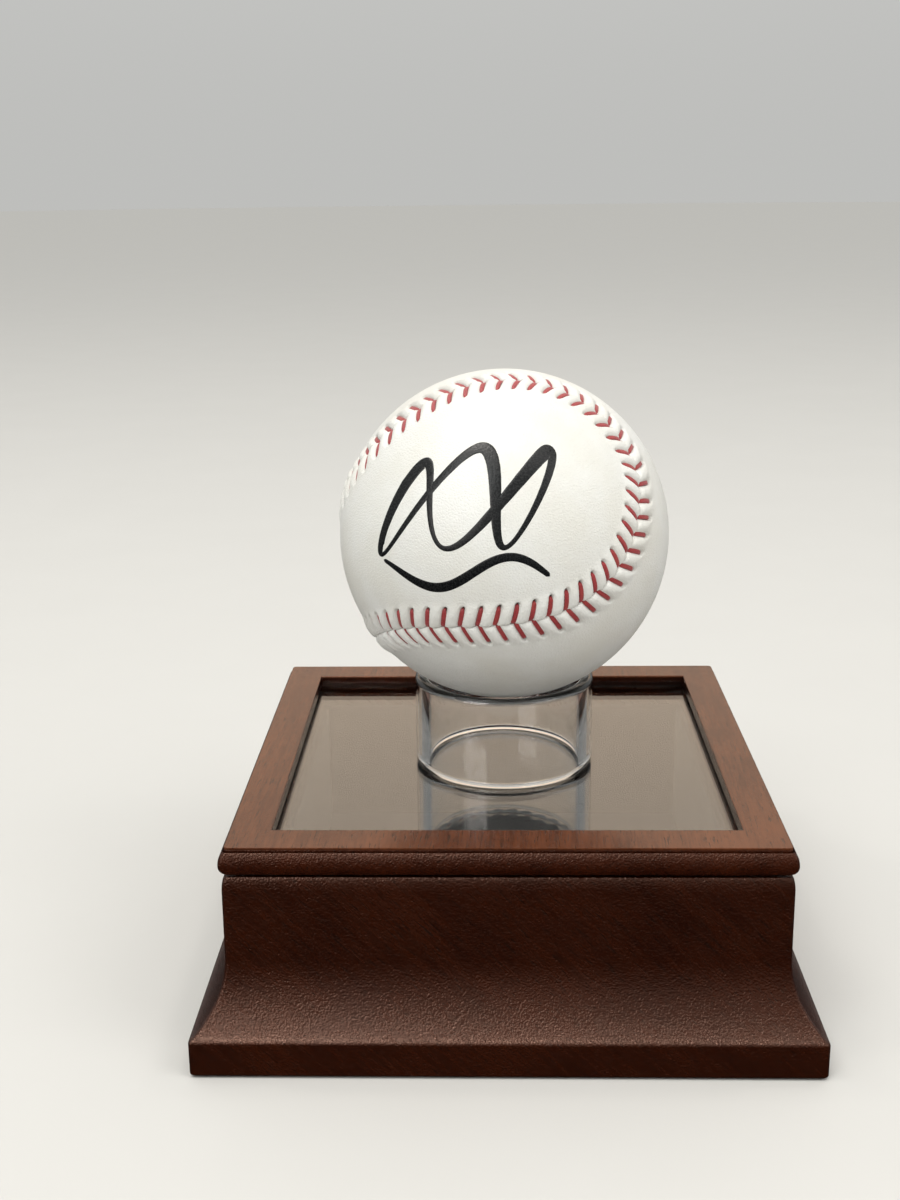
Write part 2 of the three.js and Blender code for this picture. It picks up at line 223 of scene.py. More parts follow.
def bake_modifiers(piece):
    """Puts a piece's modifiers into its mesh."""
    graph = bpy.context.evaluated_depsgraph_get()
    mesh = bpy.data.meshes.new_from_object(piece.evaluated_get(graph))
    mesh.name = piece.name
    piece.modifiers.clear()
    piece.data = mesh
    return piece


def shade(piece, sharp=25):
    """Smooth shading with sharp edges, which keeps large flat faces flat."""
    piece.data.shade_smooth()
    piece.data.set_sharp_from_angle(angle=math.radians(sharp))
    weighted = piece.modifiers.new("weighted", "WEIGHTED_NORMAL")
    weighted.keep_sharp = True
    bpy.context.view_layer.update()
    return bake_modifiers(piece)


def new_piece(name, points, faces, sharp=25):
    """A mesh object from points in millimetres, smooth except at sharp edges."""
    mesh = bpy.data.meshes.new(name)
    mesh.from_pydata((np.asarray(points, float) * MM).tolist(), [], faces)
    edit = bmesh.new()
    edit.from_mesh(mesh)
    bmesh.ops.recalc_face_normals(edit, faces=edit.faces)
    edit.to_mesh(mesh)
    edit.free()
    made = bpy.data.objects.new(name, mesh)
    bpy.context.scene.collection.objects.link(made)
    return shade(made, sharp)


def finish_piece(piece, body, slot, node, material=None):
    """Gives a piece its body and its material, and hides the CAD node that it stands for.

    The material is the one with the slot's name, unless another is given.
    """
    piece.data.materials.clear()
    piece.data.materials.append(MATERIALS[material or slot])
    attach(piece, body)
    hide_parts(node)


def combine(piece, others, operation="DIFFERENCE"):
    """Cuts the other objects from the piece, or joins them to it, and removes them."""
    for other in others:
        modifier = piece.modifiers.new("combine", "BOOLEAN")
        modifier.operation = operation
        modifier.solver = "EXACT"
        modifier.object = other
    bpy.context.view_layer.update()
    shade(bake_modifiers(piece))
    for other in others:
        bpy.data.objects.remove(other)
    return piece


def grid_faces(rows, cols, close_rows=False, close_cols=False):
    """Quads between the points of a grid stored row by row."""
    faces = []
    for i in range(rows if close_rows else rows - 1):
        for j in range(cols if close_cols else cols - 1):
            a, b = i * cols + j, i * cols + (j + 1) % cols
            c, d = (i + 1) % rows * cols + (j + 1) % cols, (i + 1) % rows * cols + j
            faces.append((a, b, c, d))
    return faces


def tube_faces(rows, cols, base=0):
    """Faces of a tube with flat ends, whose points are stored ring by ring from base on."""
    ends = [tuple(range(cols))[::-1], tuple(range((rows - 1) * cols, rows * cols))]
    faces = grid_faces(rows, cols, close_cols=True) + ends
    return [tuple(base + i for i in face) for face in faces]


def arc(centre, radii, start, end, steps=6):
    """Points of an ellipse's arc, from one angle to another, in degrees."""
    return [(centre[0] + radii[0] * math.cos(a), centre[1] + radii[1] * math.sin(a))
            for a in np.radians(np.linspace(start, end, steps))]


def lathe(name, outline, segments=48):
    """A solid of revolution about Z. The outline (radius, height) runs up the outside."""
    points, faces, rings = [], [], []
    turns = np.linspace(0, 2 * math.pi, segments, endpoint=False)
    for radius, height in outline:
        first = len(points)
        if radius < 1e-6:
            points.append((0, 0, height))
            rings.append([first] * segments)
        else:
            points += [(radius * math.cos(a), radius * math.sin(a), height) for a in turns]
            rings.append(list(range(first, first + segments)))
    closed = outline[0][0] > 1e-6
    for low, high in zip(rings, rings[1:] + rings[:1] if closed else rings[1:]):
        for j in range(segments):
            k = (j + 1) % segments
            corners = [low[j], low[k], high[k], high[j]]
            faces.append(list(dict.fromkeys(corners)))
    return new_piece(name, points, faces)


def cylinder(name, radius, under, top, segments):
    return lathe(name, [(0, under), (radius, under), (radius, top), (0, top)], segments)


def rounded_disc(name, radius, under, top, edge, segments=40):
    outline = [(0, under), *arc((radius - edge, under + edge), (edge, edge), -90, 0, 5)]
    outline += [*arc((radius - edge, top - edge), (edge, edge), 0, 90, 5), (0, top)]
    return lathe(name, outline, segments)


def slab(name, low, high, edge):
    """A box between two corners. Its edges are rounded by edge, unless that is 0."""
    low, high = np.asarray(low, float), np.asarray(high, float)
    corners = [(x, y, z) for z in (0, 1) for y in (0, 1) for x in (0, 1)]
    points = [low + (high - low) * corner for corner in corners]
    faces = [(0, 2, 3, 1), (4, 5, 7, 6), (0, 1, 5, 4), (1, 3, 7, 5), (3, 2, 6, 7), (2, 0, 4, 6)]
    made = new_piece(name, points, faces)
    if edge:
        bevel = made.modifiers.new("bevel", "BEVEL")
        bevel.width, bevel.segments = edge * MM, 3
        bevel.use_clamp_overlap = True
        bpy.context.view_layer.update()
        shade(bake_modifiers(made))
    return made


def move(piece, turn_x=0, turn_y=0, turn_z=0, to=(0, 0, 0)):
    """Turns a piece's mesh about X, then Y, then Z, in degrees, and shifts it by millimetres."""
    turns = [Matrix.Rotation(math.radians(angle), 4, axis)
             for angle, axis in ((turn_z, "Z"), (turn_y, "Y"), (turn_x, "X"))]
    piece.data.transform(Matrix.Translation(Vector(to) * MM) @ turns[0] @ turns[1] @ turns[2])
    return piece


def rail(name, outline, turn, rounded=False):
    """One side of a square frame, swept along a mitred path and turned about Z.

    The outline is (distance from the middle, height). A rounded rail has round outer corners,
    and the mitres of two rails stay a hair apart.
    """
    steps, mitre_gap, square = 5, 0.02, 0.02
    rows = []
    for out, height in outline:
        radius = CORNER_RADIUS if rounded and out >= CORNER_FROM else square
        inner = out - radius
        left = [(-inner + radius * math.cos(a), -inner + radius * math.sin(a))
                for a in np.radians(np.linspace(225, 270, steps))]
        right = [(-x, y) for x, y in reversed(left)]
        left[0] = (left[0][0] + mitre_gap, left[0][1])
        right[-1] = (right[-1][0] - mitre_gap, right[-1][1])
        rows.append([(x, y, height) for x, y in left + right])
    points = np.array(rows).swapaxes(0, 1).reshape(-1, 3)
    faces = tube_faces(2 * steps, len(outline))
    made = new_piece(name, points, [face[::-1] for face in faces])
    return move(made, turn_z=turn)


def square_ring(name, outline):
    """A whole square frame in one piece, with rounded outer corners."""
    steps, window_radius = 7, 0.25
    rows = []
    for out, height in outline:
        radius = CORNER_RADIUS if out >= CORNER_FROM else window_radius
        inner = out - radius
        ring = []
        for quarter in range(4):
            middle = math.radians(45 + 90 * quarter)
            corner_x = inner * math.copysign(1, math.cos(middle))
            corner_y = inner * math.copysign(1, math.sin(middle))
            for a in np.radians(np.linspace(0, 90, steps) + 90 * quarter):
                x, y = corner_x + radius * math.cos(a), corner_y + radius * math.sin(a)
                ring.append((x, y, height))
        rows.append(ring)
    points = np.array(rows).swapaxes(0, 1).reshape(-1, 3)
    return new_piece(name, points, grid_faces(4 * steps, len(outline), True, True))


# ------------------------ materials


def mahogany(name, stretch, turn=(0, 0, 0), painted_light_scale=1.0, gloss=0.48, flat_top=None):
    """Dark red-brown stained wood under a satin lacquer. stretch is short along the grain.

    If the height flat_top is given, the colour is paler above it, a painted highlight where light
    catches the flat top, and away from the outer edge the lacquer has little texture. Scaling the
    colour up makes the whole wood lighter, which is painted light.
    """
    dark, light = (0.0134, 0.0020, 0.0005), (0.0305, 0.0057, 0.0015)
    shader = Shader(name, dark, 0.3, Specular_IOR_Level=gloss, Specular_Tint=(1, 0.62, 0.48, 1))
    grain, plain = shader.coords(stretch, turn), shader.coords()
    figure = shader.noise(grain, 0.16, 4, 0.6)
    streaks = shader.noise(grain, 1.1, 4, 0.65)
    pores = shader.ramp(shader.noise(grain, 2.6, 2, 0.5), 0.60, 0.70)
    clouds = shader.noise(plain, 0.05, 2, 0.5)
    speckle = shader.noise(plain, 2.5, 1, 0.5)
    peel = shader.noise(plain, 0.8, 2, 0.6)
    tone = shader.maths("ADD", shader.maths("MULTIPLY", figure, 0.45),
                        shader.maths("MULTIPLY", streaks, 0.55))
    tone = shader.maths("ADD", tone, shader.maths("MULTIPLY", clouds, 0.45))
    tone = shader.ramp(tone, 0.45, 1.0)
    # Painted light: a colour scale above 1 makes the whole wood lighter.
    body = shader.mix(tone, tuple(c * painted_light_scale for c in dark), tuple(c * painted_light_scale for c in light))
    if flat_top is not None:
        place = shader.node("SeparateXYZ", {0: plain}).outputs
        side = shader.maths("MAXIMUM", shader.maths("ABSOLUTE", place["X"]),
                            shader.maths("ABSOLUTE", place["Y"]))
        outer = shader.ramp(side, LID_FLAT_HALF - 1.1, LID_FLAT_HALF - 0.3)
        below = shader.ramp(place["Z"], flat_top - 0.3, flat_top - 0.6)
        textured = shader.maths("ADD", shader.maths("MULTIPLY", outer, below), 0.18)
        speckle = shader.maths("MULTIPLY", speckle, textured)
        # Painted highlight: the flat top is drawn paler, as if lit.
        painted_top_light = shader.ramp(place["Z"], flat_top - 0.5, flat_top)
        paler = shader.mix(tone, (0.050, 0.0132, 0.0048), (0.128, 0.040, 0.015))
        body = shader.mix(painted_top_light, body, paler)
    in_pores = shader.maths("MULTIPLY", pores, 0.72)
    shader.set("Base Color", shader.mix(in_pores, body, (0.006, 0.002, 0.0012)))
    shader.set("Roughness", shader.ramp(peel, 0.3, 0.7, 0.15, 0.27))
    return shader.bump((pores, -0.06, 0.35), (peel, 0.03, 0.3), (speckle, 0.2, 0.9))


def glass():
    """Clear glass with faint smudges."""
    shader = Shader("glass_pane", (0.975, 0.99, 0.982), 0.0, IOR=1.52, Transmission_Weight=1.0)
    smudge = shader.noise(shader.coords((1, 0.6, 1), (0, 0, 0.5)), 0.045, 3, 0.6)
    shader.set("Roughness", shader.ramp(smudge, 0.52, 0.70, 0.0, 0.055))
    return shader.material


def acrylic():
    """Polished acrylic with a little haze."""
    shader = Shader("clear_acrylic", (0.985, 0.99, 0.99), 0.01, IOR=1.49, Transmission_Weight=1.0)
    haze = shader.noise(shader.coords(), 0.5, 2)
    shader.set("Roughness", shader.ramp(haze, 0.45, 0.75, 0.0, 0.03))
    return shader.material


def velvet():
    """Black pile, brushed in places."""
    shader = Shader("black_velvet", (0.006, 0.0055, 0.0065), 0.95, Sheen_Weight=0.12,
                    Sheen_Roughness=0.4, Specular_IOR_Level=0.15)
    pile = shader.noise(shader.coords(), 3.2, 3)
    brushed = shader.noise(shader.coords((1, 0.4, 1)), 0.09, 3)
    shader.set("Base Color", shader.mix(brushed, (0.005, 0.0045, 0.0055), (0.010, 0.009, 0.011)))
    return shader.bump((brushed, 0.5, 0.25), (pile, 0.15, 0.8))


def felt():
    """Black felt with paler fibres."""
    shader = Shader("felt", (0.014, 0.014, 0.015), 1.0, Sheen_Weight=0.3)
    fibres = shader.noise(shader.coords(), 4.5, 4, 0.7)
    shader.set("Base Color", shader.mix(fibres, (0.008, 0.008, 0.009), (0.03, 0.03, 0.032)))
    return shader.bump((fibres, 0.15, 1.0))


def hardboard():
    """Brown pressed board with dark flecks."""
    shader = Shader("hardboard", (0.11, 0.052, 0.026), 0.62)
    chips = shader.noise(shader.coords(), 1.4, 5, 0.7)
    flecks = shader.ramp(shader.noise(shader.coords((1, 0.4, 1), (0, 0, 0.7)), 2.2, 2), 0.6, 0.72)
    ground = shader.mix(chips, (0.075, 0.034, 0.017), (0.165, 0.085, 0.044))
    marks = shader.maths("MULTIPLY", flecks, 0.6)
    shader.set("Base Color", shader.mix(marks, ground, (0.035, 0.016, 0.009)))
    return shader.bump((chips, 0.05, 0.5))


def brass():
    """Brushed brass, tarnished in places."""
    shader = Shader("brass", (0.62, 0.43, 0.17), 0.3, Metallic=1.0)
    brushing = shader.noise(shader.coords((0.12, 2.2, 2.2)), 1.6, 3, 0.6)
    tarnish = shader.noise(shader.coords(), 0.35, 4, 0.6)
    dull = shader.ramp(tarnish, 0.45, 0.75)
    shader.set("Base Color", shader.mix(dull, (0.64, 0.45, 0.19), (0.30, 0.18, 0.065)))
    shader.set("Roughness", shader.ramp(tarnish, 0.35, 0.75, 0.22, 0.5))
    return shader.bump((brushing, 0.02, 0.35))


def steel():
    """Plated steel with a mottled shine."""
    shader = Shader("steel", (0.55, 0.55, 0.56), 0.3, Metallic=1.0)
    mottle = shader.noise(shader.coords(), 1.5, 4, 0.6)
    shader.set("Base Color", shader.mix(mottle, (0.46, 0.46, 0.47), (0.62, 0.61, 0.60)))
    shader.set("Roughness", shader.ramp(mottle, 0.3, 0.7, 0.2, 0.42))
    return shader.bump((mottle, 0.02, 0.3))


def hole_shade(shader, place, full, none, strength):
    """Painted shade for points that lie deep in the ball's holes and creases: full at one depth,
    none at another.
    """
    inputs = {0: place, 1: tuple(BALL_CENTRE)}
    out = shader.node("VectorMath", inputs, operation="DISTANCE").outputs["Value"]
    return shader.ramp(out, BALL_RADIUS - full, BALL_RADIUS - none, strength, 0.0)


def leather():
    """White ball leather: fine pebbled grain, ivory mottling, a satin surface, and painted shade in
    the holes and deep creases.
    """
    shader = Shader("ball_leather", (0.72, 0.715, 0.68), 0.46, Coat_Weight=0.08,
                    Coat_Roughness=0.3, Specular_IOR_Level=0.42)
    place = shader.coords()
    mottle = shader.ramp(shader.noise(place, 0.06, 3), 0.35, 0.7)
    fine = shader.noise(place, 1.3, 3, 0.6)
    ground = shader.mix(mottle, (0.74, 0.74, 0.715), (0.70, 0.69, 0.645))
    grained = shader.mix(shader.ramp(fine, 0.55, 0.8, 0.0, 0.30), ground, (0.62, 0.60, 0.555))
    # Painted shade: the leather goes dark down in the holes and deep creases.
    painted_hole_shade = hole_shade(shader, place, 1.2, 0.62, 0.92)
    shader.set("Base Color", shader.mix(painted_hole_shade, grained, (0.03, 0.024, 0.02)))
    cells = shader.node("TexVoronoi", {"Vector": place, "Scale": 1.55}, feature="DISTANCE_TO_EDGE")
    pebble = shader.ramp(cells.outputs["Distance"], 0.0, 0.28)
    shader.set("Roughness", shader.ramp(fine, 0.3, 0.7, 0.40, 0.56))
    return shader.bump((pebble, 0.06, 0.7), (fine, 0.05, 0.5))


def thread():
    """Red waxed thread with visible strands, worn in places, with painted shade where it enters a
    hole.
    """
    shader = Shader("waxed_thread", (0.30, 0.015, 0.02), 0.5, Sheen_Weight=0.25)
    place = shader.coords()
    strands = shader.noise(place, 5.0, 3, 0.6)
    wear = shader.ramp(shader.noise(place, 0.25, 2), 0.5, 0.8, 0.0, 0.35)
    ground = shader.mix(shader.ramp(strands, 0.3, 0.7), (0.21, 0.008, 0.013), (0.42, 0.026, 0.028))
    worn = shader.mix(wear, ground, (0.46, 0.08, 0.05))
    # Painted shade: the thread goes dark where it dives into a hole.
    painted_hole_shade = hole_shade(shader, place, 0.95, 0.42, 0.88)
    shader.set("Base Color", shader.mix(painted_hole_shade, worn, (0.022, 0.010, 0.009)))
    return shader.bump((strands, 0.08, 0.7))


def ink():
    """Black marker ink with an uneven shine."""
    shader = Shader("marker_ink", (0.006, 0.0065, 0.0075), 0.4, Specular_IOR_Level=0.22)
    speckle = shader.noise(shader.coords(), 2.6, 2)
    shader.set("Roughness", shader.ramp(speckle, 0.35, 0.65, 0.16, 0.36))
    shader.set("Base Color", shader.mix(speckle, (0.004, 0.0045, 0.005), (0.010, 0.011, 0.012)))
    return shader.bump((speckle, 0.09, 0.7))


def yarn():
    """Grey-white wool yarn, wound."""
    shader = Shader("wound_yarn", (0.50, 0.47, 0.40), 1.0, Sheen_Weight=0.3)
    wound = shader.noise(shader.coords((0.4, 1.5, 1.5)), 0.9, 4)
    shader.set("Base Color", shader.mix(wound, (0.36, 0.33, 0.28), (0.60, 0.57, 0.50)))
    return shader.bump((wound, 0.3, 0.8))


def make_materials():
    """All materials. The grain slants on the base and runs front to back on the lid."""
    slant = math.radians(45)
    base_stretch, lid_stretch, lid_drift = (1.0, 1.0, 0.09), (1.0, 0.07, 1.0), (0, 0, 0.03)
    made = {make.__name__: make() for make in (glass, acrylic, velvet, felt, hardboard, brass,
                                               steel, leather, thread, ink, yarn)}
    return made | {
        "wood_front": mahogany("mahogany_front", base_stretch, (0, slant, 0)),
        "wood_side": mahogany("mahogany_side", base_stretch, (-slant, 0, 0)),
        # Painted light: the lid's wood is drawn lighter than the base's, and paler on its flat top.
        "wood_lid": mahogany("mahogany_lid", lid_stretch, lid_drift, 1.15, 0.34, LID_TOP - 0.1),
        "wood_stop": mahogany("mahogany_stop", (0.3, 0.3, 1.0)),
    }


MATERIALS = make_materials()


# ------------------------ base


def moulding_outline():
    """Section of a base moulding: rebate, plinth, cove, body and eased top edge."""
    ease, nose = PLINTH_EASE, NOSE_RADIUS
    cove_x = BODY_HALF + COVE_RADIUS
    cove_end = (cove_x - COVE_RADIUS * math.cos(COVE_SWEEP),
                COVE_Z - COVE_RADIUS * math.sin(COVE_SWEEP))
    seat_radii = (BODY_HALF - 0.08 - SEAT_HALF, SEAT_EASE)
    outline = [(REBATE_HALF, BASE_UNDER)]
    outline += arc((PLINTH_HALF - ease, BASE_UNDER + ease), (ease, ease), -90, 0, 6)
    outline += arc((PLINTH_HALF - nose, cove_end[1] - NOSE_DROP), (nose, nose), 0, 70, 8)
    outline.append(cove_end)
    outline += arc((cove_x, COVE_Z), (COVE_RADIUS, COVE_RADIUS),
                   180 + math.degrees(COVE_SWEEP), 180, 28)[1:]
    outline.append((BODY_HALF - 0.05, BODY_UPRIGHT_TO))
    outline += arc((SEAT_HALF, SEAT - SEAT_EASE), seat_radii, 0, 90, 12)
    outline += arc((WELL_HALF + WELL_EDGE, SEAT - WELL_EDGE), (WELL_EDGE, WELL_EDGE), 90, 180, 4)
    outline += [(WELL_HALF, REBATE_TOP), (REBATE_HALF, REBATE_TOP)]
    return outline


def leaf_cutters(under, top):
    """Boxes that recess both hinge leaves into the wood."""
    play = 0.12
    cutters = []
    for end in ENDS:
        low, high = box_mm(f"hinge_base_leaf_{end}")
        cutters.append(slab("cutter", (low[0] - play, low[1] - play, under),
                            (high[0] + play, HINGE_Y, top), 0))
    return cutters


def disc_cutters(kind, down=False):
    """Cylinders that open the pockets of two discs, upwards or downwards."""
    play, past, reach = 0.12, 0.1, 3.0
    cutters = []
    for end in ENDS:
        place, radius, low, high = disc_mm(f"{kind}_{end}")
        under, top = (low - reach, high + past) if down else (low - past, high + reach)
        cutters.append(move(cylinder("cutter", radius + play, under, top, 40), to=place))
    return cutters


def make_mouldings():
    """Four mitred sides, with recesses for the hinges at the back and magnets in front."""
    outline = moulding_outline()
    leaf_under = box_mm("hinge_base_leaf_left")[0][2] - 0.15
    for side, turn in SIDES.items():
        made = rail(f"{side}_moulding_wood", outline, turn, rounded=True)
        if side == "back":
            combine(made, leaf_cutters(leaf_under, SEAT + 1))
        if side == "front":
            combine(made, disc_cutters("magnet"))
        wood = "wood_front" if side in ("front", "back") else "wood_side"
        finish_piece(made, "base", "mahogany", f"{side}_moulding", wood)


def make_discs():
    """Two magnets in the base and the steel discs over them in the lid."""
    for end in ENDS:
        for kind, body in (("magnet", "base"), ("steel_disc", "lid")):
            node = f"{kind}_{end}"
            place, radius, low, high = disc_mm(node)
            made = move(rounded_disc(node + "_shown", radius, low, high, 0.18), to=place)
            finish_piece(made, body, "steel", node)


def make_panel():
    """The bottom panel with its countersunk holes, and the screws in them."""
    panel = slab("bottom_panel_board", PANEL_LOW, PANEL_HIGH, 0.25)
    top, bore = PANEL_HIGH[2] + 1, 1.3
    sinks = []
    for side in SIDES:
        place, head, low, _ = disc_mm(f"panel_screw_{side}")
        mouth = head + 0.25
        outline = [(0, low - 1), (mouth, low - 1), (mouth, low), (bore, low + 1.2)]
        outline += [(bore, top), (0, top)]
        sinks.append(move(lathe("cutter", outline), to=place))
    combine(panel, sinks)
    finish_piece(panel, "base", "hardboard", "bottom_panel")
    for side in SIDES:
        make_screw(f"panel_screw_{side}", "base", "steel", PANEL_SHANK, points_up=True)


def make_pads():
    """Felt pads under the corners. They reach up to the underside of the mouldings."""
    for corner in CORNERS:
        node = f"felt_pad_{corner}"
        place, radius, low, _ = disc_mm(node)
        pad = move(rounded_disc(node + "_shown", radius, low, BASE_UNDER - 0.02, 0.1), to=place)
        finish_piece(pad, "base", "felt", node)


def make_screw(node, body, slot, shank, points_up):
    """A countersunk screw with a cross recess, in the place of its CAD solid.

    Its countersink is as deep as the radius of its shank.
    """
    place, head, low, high = disc_mm(node)
    length, pitch = high - low, shank * 0.9
    outline = [(0, -length)]
    for i in range(int((length - shank - 0.4) / pitch)):
        z = i * pitch - length + (0.6 * shank if i == 0 else 0)
        width = shank * min(1.0, 0.35 + 0.45 * i)
        outline += [(0.72 * width, z + 0.1 * pitch), (width, z + 0.5 * pitch),
                    (0.72 * width, z + 0.9 * pitch)]
    outline += [(shank * 0.8, -shank - 0.05), (head * 0.97, -0.12)]
    outline += arc((head - 0.12, -0.08), (0.12, 0.08), 0, 90, 4)
    outline.append((0, 0))
    made = lathe(node + "_shown", outline, 28)
    wide, deep, narrow = head * 0.62, shank * 0.75, head * 0.13
    combine(made, [slab("cutter", (-a, -b, -deep), (a, b, 1), 0)
                   for a, b in ((wide, narrow), (narrow, wide))])
    move(made, turn_z=17 + 41 * (name_number(node) % 7))
    move(made, turn_x=180 if points_up else 0,
         to=(place[0], place[1], low if points_up else high))
    finish_piece(made, body, slot, node)


def name_number(name):
    """A whole number that depends only on the name."""
    return sum((i + 1) * ord(c) for i, c in enumerate(name))


def make_lining():
    """The velvet of the well: its floor and its four side liners."""
    floor = slab("well_floor_velvet", *box_mm("well_floor"), 0.8)
    finish_piece(floor, "base", "velvet", "well_floor")
    low, high = box_mm("well_liner_front")
    outer, inner, under, top = -low[1], -high[1], low[2] - 0.25, high[2]
    fold = 0.8
    outline = [(inner, under), (outer, under), (outer, top - 0.3)]
    outline += arc((inner + fold, top - fold), (fold, fold), 90, 180, 7)
    for side, turn in SIDES.items():
        made = rail(f"well_liner_{side}_velvet", outline, turn)
        finish_piece(made, "base", "velvet", f"well_liner_{side}")


# ------------------------ lid


def lid_outline():
    """Section of the lid: glass rebate, round bead, groove, flat top and window edge."""
    middle = (BEAD_HALF - BEAD_DEPTH, LID_UNDER + BEAD_MIDDLE)
    upper = LID_TOP - BEAD_BELOW_TOP - middle[1]
    groove_z = LID_TOP - GROOVE_DEPTH
    outline = [(GLASS_REBATE_HALF, LID_UNDER)]
    outline += arc(middle, (BEAD_DEPTH, BEAD_MIDDLE), -90, 0, 10)
    outline += arc(middle, (BEAD_DEPTH, upper), 0, BEAD_END, 12)[1:]
    outline += [(LID_FLAT_HALF + GROOVE_WIDTH, groove_z), (LID_FLAT_HALF, groove_z)]
    outline += arc((LID_FLAT_HALF - LID_EDGE, LID_TOP - LID_EDGE), (LID_EDGE, LID_EDGE), 0, 90, 4)
    outline += arc((WELL_HALF + WINDOW_EDGE, LID_TOP - WINDOW_EDGE), (WINDOW_EDGE, WINDOW_EDGE),
                   90, 180, 5)
    outline += [(WELL_HALF, GLASS_REBATE_TOP), (GLASS_REBATE_HALF, GLASS_REBATE_TOP)]
    return outline


def make_lid():
    """The frame with its recesses, and the pane."""
    lid = square_ring("lid_frame_wood", lid_outline())
    leaf_top = box_mm("hinge_lid_leaf_left")[0][2] + 0.95
    combine(lid, leaf_cutters(LID_UNDER - 1, leaf_top) + disc_cutters("steel_disc", down=True))
    finish_piece(lid, "lid", "mahogany", "lid_frame", "wood_lid")

    pane = slab("glass_pane_shown", GLASS_LOW, GLASS_HIGH, 0.15)
    finish_piece(pane, "lid", "glass", "glass_pane")


def make_stops():
    """Four strips that hold the pane in its rebate."""
    low, high = box_mm("glass_stop_front")
    outer, inner, under, top = -low[1], -high[1], low[2], high[2] + 0.25
    chamfer, radius = 0.25, 0.4
    outline = [(inner + chamfer, top), (inner, top - chamfer)]
    outline += arc((inner + radius, under + radius), (radius, radius), 180, 270, 5)
    outline += [(outer, under), (outer, top)]
    for side, turn in SIDES.items():
        made = rail(f"glass_stop_{side}_wood", outline, turn)
        finish_piece(made, "lid", "mahogany", f"glass_stop_{side}", "wood_stop")


# ------------------------ hinges


def knuckle_spans(half, outer_knuckles):
    """The stretches of the barrel that one leaf's knuckles fill, from its middle."""
    if outer_knuckles:
        inner = KNUCKLE_HALF + KNUCKLE_PLAY
        return [(-half, -inner), (inner, half)]
    return [(-KNUCKLE_HALF, KNUCKLE_HALF)]


def make_knuckle(start, end, barrel, under, top):
    """A rolled knuckle, and the tab that joins it to its leaf."""
    tab = slab("part", (start + 0.1, HINGE_Y - barrel - 1.0, under + 0.02),
               (end - 0.1, HINGE_Y - 0.85, top - 0.02), 0)
    roll = rounded_disc("part", barrel, start, end, 0.18, 36)
    return [tab, move(roll, turn_y=90, to=(0, HINGE_Y, HINGE_Z))]


def leaf_holes(centre, half, face, down):
    """Cutters for the barrel's bore and for a leaf's two countersunk holes."""
    bore = cylinder("cutter", HINGE_BORE, -half - 1, half + 1, 28)
    cutters = [move(bore, turn_y=90, to=(0, HINGE_Y, HINGE_Z))]
    place = disc_mm("base_leaf_screw_right_inner")[0]
    hole_x = abs(place[0] - abs(centre))
    outline = [(0, -2), (0.85, -2), (0.85, -0.7), (1.52, 0.0), (1.52, 1), (0, 1)]
    for end in (-1, 1):
        sink = lathe("cutter", outline, 28)
        cutters.append(move(sink, turn_x=180 if down else 0, to=(end * hole_x, place[1], face)))
    return cutters


def make_leaf(node, body):
    """A hinge leaf with rounded knuckles, a bored barrel and countersunk holes."""
    low, high = box_mm(node)
    centre, half = (low[0] + high[0]) / 2, (high[0] - low[0]) / 2
    barrel = high[1] - HINGE_Y
    on_base = body == "base"
    under = SEAT - LEAF_THICK if on_base else LID_UNDER
    top = under + LEAF_THICK
    leaf = slab(node + "_shown", (-half, low[1], under), (half, HINGE_Y - barrel - 0.25, top), 0.12)
    knuckles = []
    for start, end in knuckle_spans(half, on_base):
        knuckles += make_knuckle(start, end, barrel, under, top)
    combine(leaf, knuckles, "UNION")
    combine(leaf, leaf_holes(centre, half, top if on_base else under, down=not on_base))
    move(leaf, to=(centre, 0, 0))
    finish_piece(leaf, body, "brass", node)


def make_pin(node):
    """A hinge pin with a domed cap at each end."""
    low, high = box_mm(node)
    half, cap, radius = (high[0] - low[0]) / 2, (high[2] - low[2]) / 2, 0.6
    dome = arc((0, half - cap * 0.75), (cap, cap * 0.75), 0, 90, 8)
    dome[-1] = (0, dome[-1][1])
    upper = [(radius, half - cap * 0.8), *dome]
    outline = [(r, -z) for r, z in reversed(upper)] + upper
    pin = lathe(node + "_shown", outline, 32)
    move(pin, turn_y=90, to=((low[0] + high[0]) / 2, HINGE_Y, HINGE_Z))
    finish_piece(pin, "base", "brass", node)


def make_hinges():
    for end in ENDS:
        make_leaf(f"hinge_base_leaf_{end}", "base")
        make_leaf(f"hinge_lid_leaf_{end}", "lid")
        make_pin(f"hinge_pin_{end}")
    for place in ("left_outer", "left_inner", "right_inner", "right_outer"):
        for body in ("base", "lid"):
            node = f"{body}_leaf_screw_{place}"
            make_screw(node, body, "brass", LEAF_SHANK, points_up=body == "lid")


# ------------------------ ring


def make_ring():
    """The clear ring: a polished tube with rounded rims, standing on the glass."""
    low, high = RING_LOW[2] - 0.22, RING_HIGH[2]
    outer, inner, edge = (RING_HIGH[0] - RING_LOW[0]) / 2, RING_INNER, RING_EDGE
    outline = []
    for radius, height, start in ((outer - edge, low + edge, -90), (outer - edge, high - edge, 0),
                                  (inner + edge, high - edge, 90), (inner + edge, low + edge, 180)):
        outline += arc((radius, height), (edge, edge), start, start + 90, 7)
    ring = move(lathe("acrylic_ring_shown", outline, 160), to=(RING_CENTRE[0], RING_CENTRE[1], 0))
    finish_piece(ring, "ring", "acrylic", "acrylic_ring")


# ------------------------ ball


def unit(vectors):
    return vectors / np.linalg.norm(vectors, axis=-1, keepdims=True)


def slerp(a, b, share):
    """A point on the great circle from a to b."""
    angle = np.arccos(np.clip((a * b).sum(-1, keepdims=True), -1, 1))
    near = angle < 1e-6
    sine = np.where(near, 1, np.sin(angle))
    mixed = (np.sin((1 - share) * angle) * a + np.sin(share * angle) * b) / sine
    return unit(np.where(near, a, mixed))


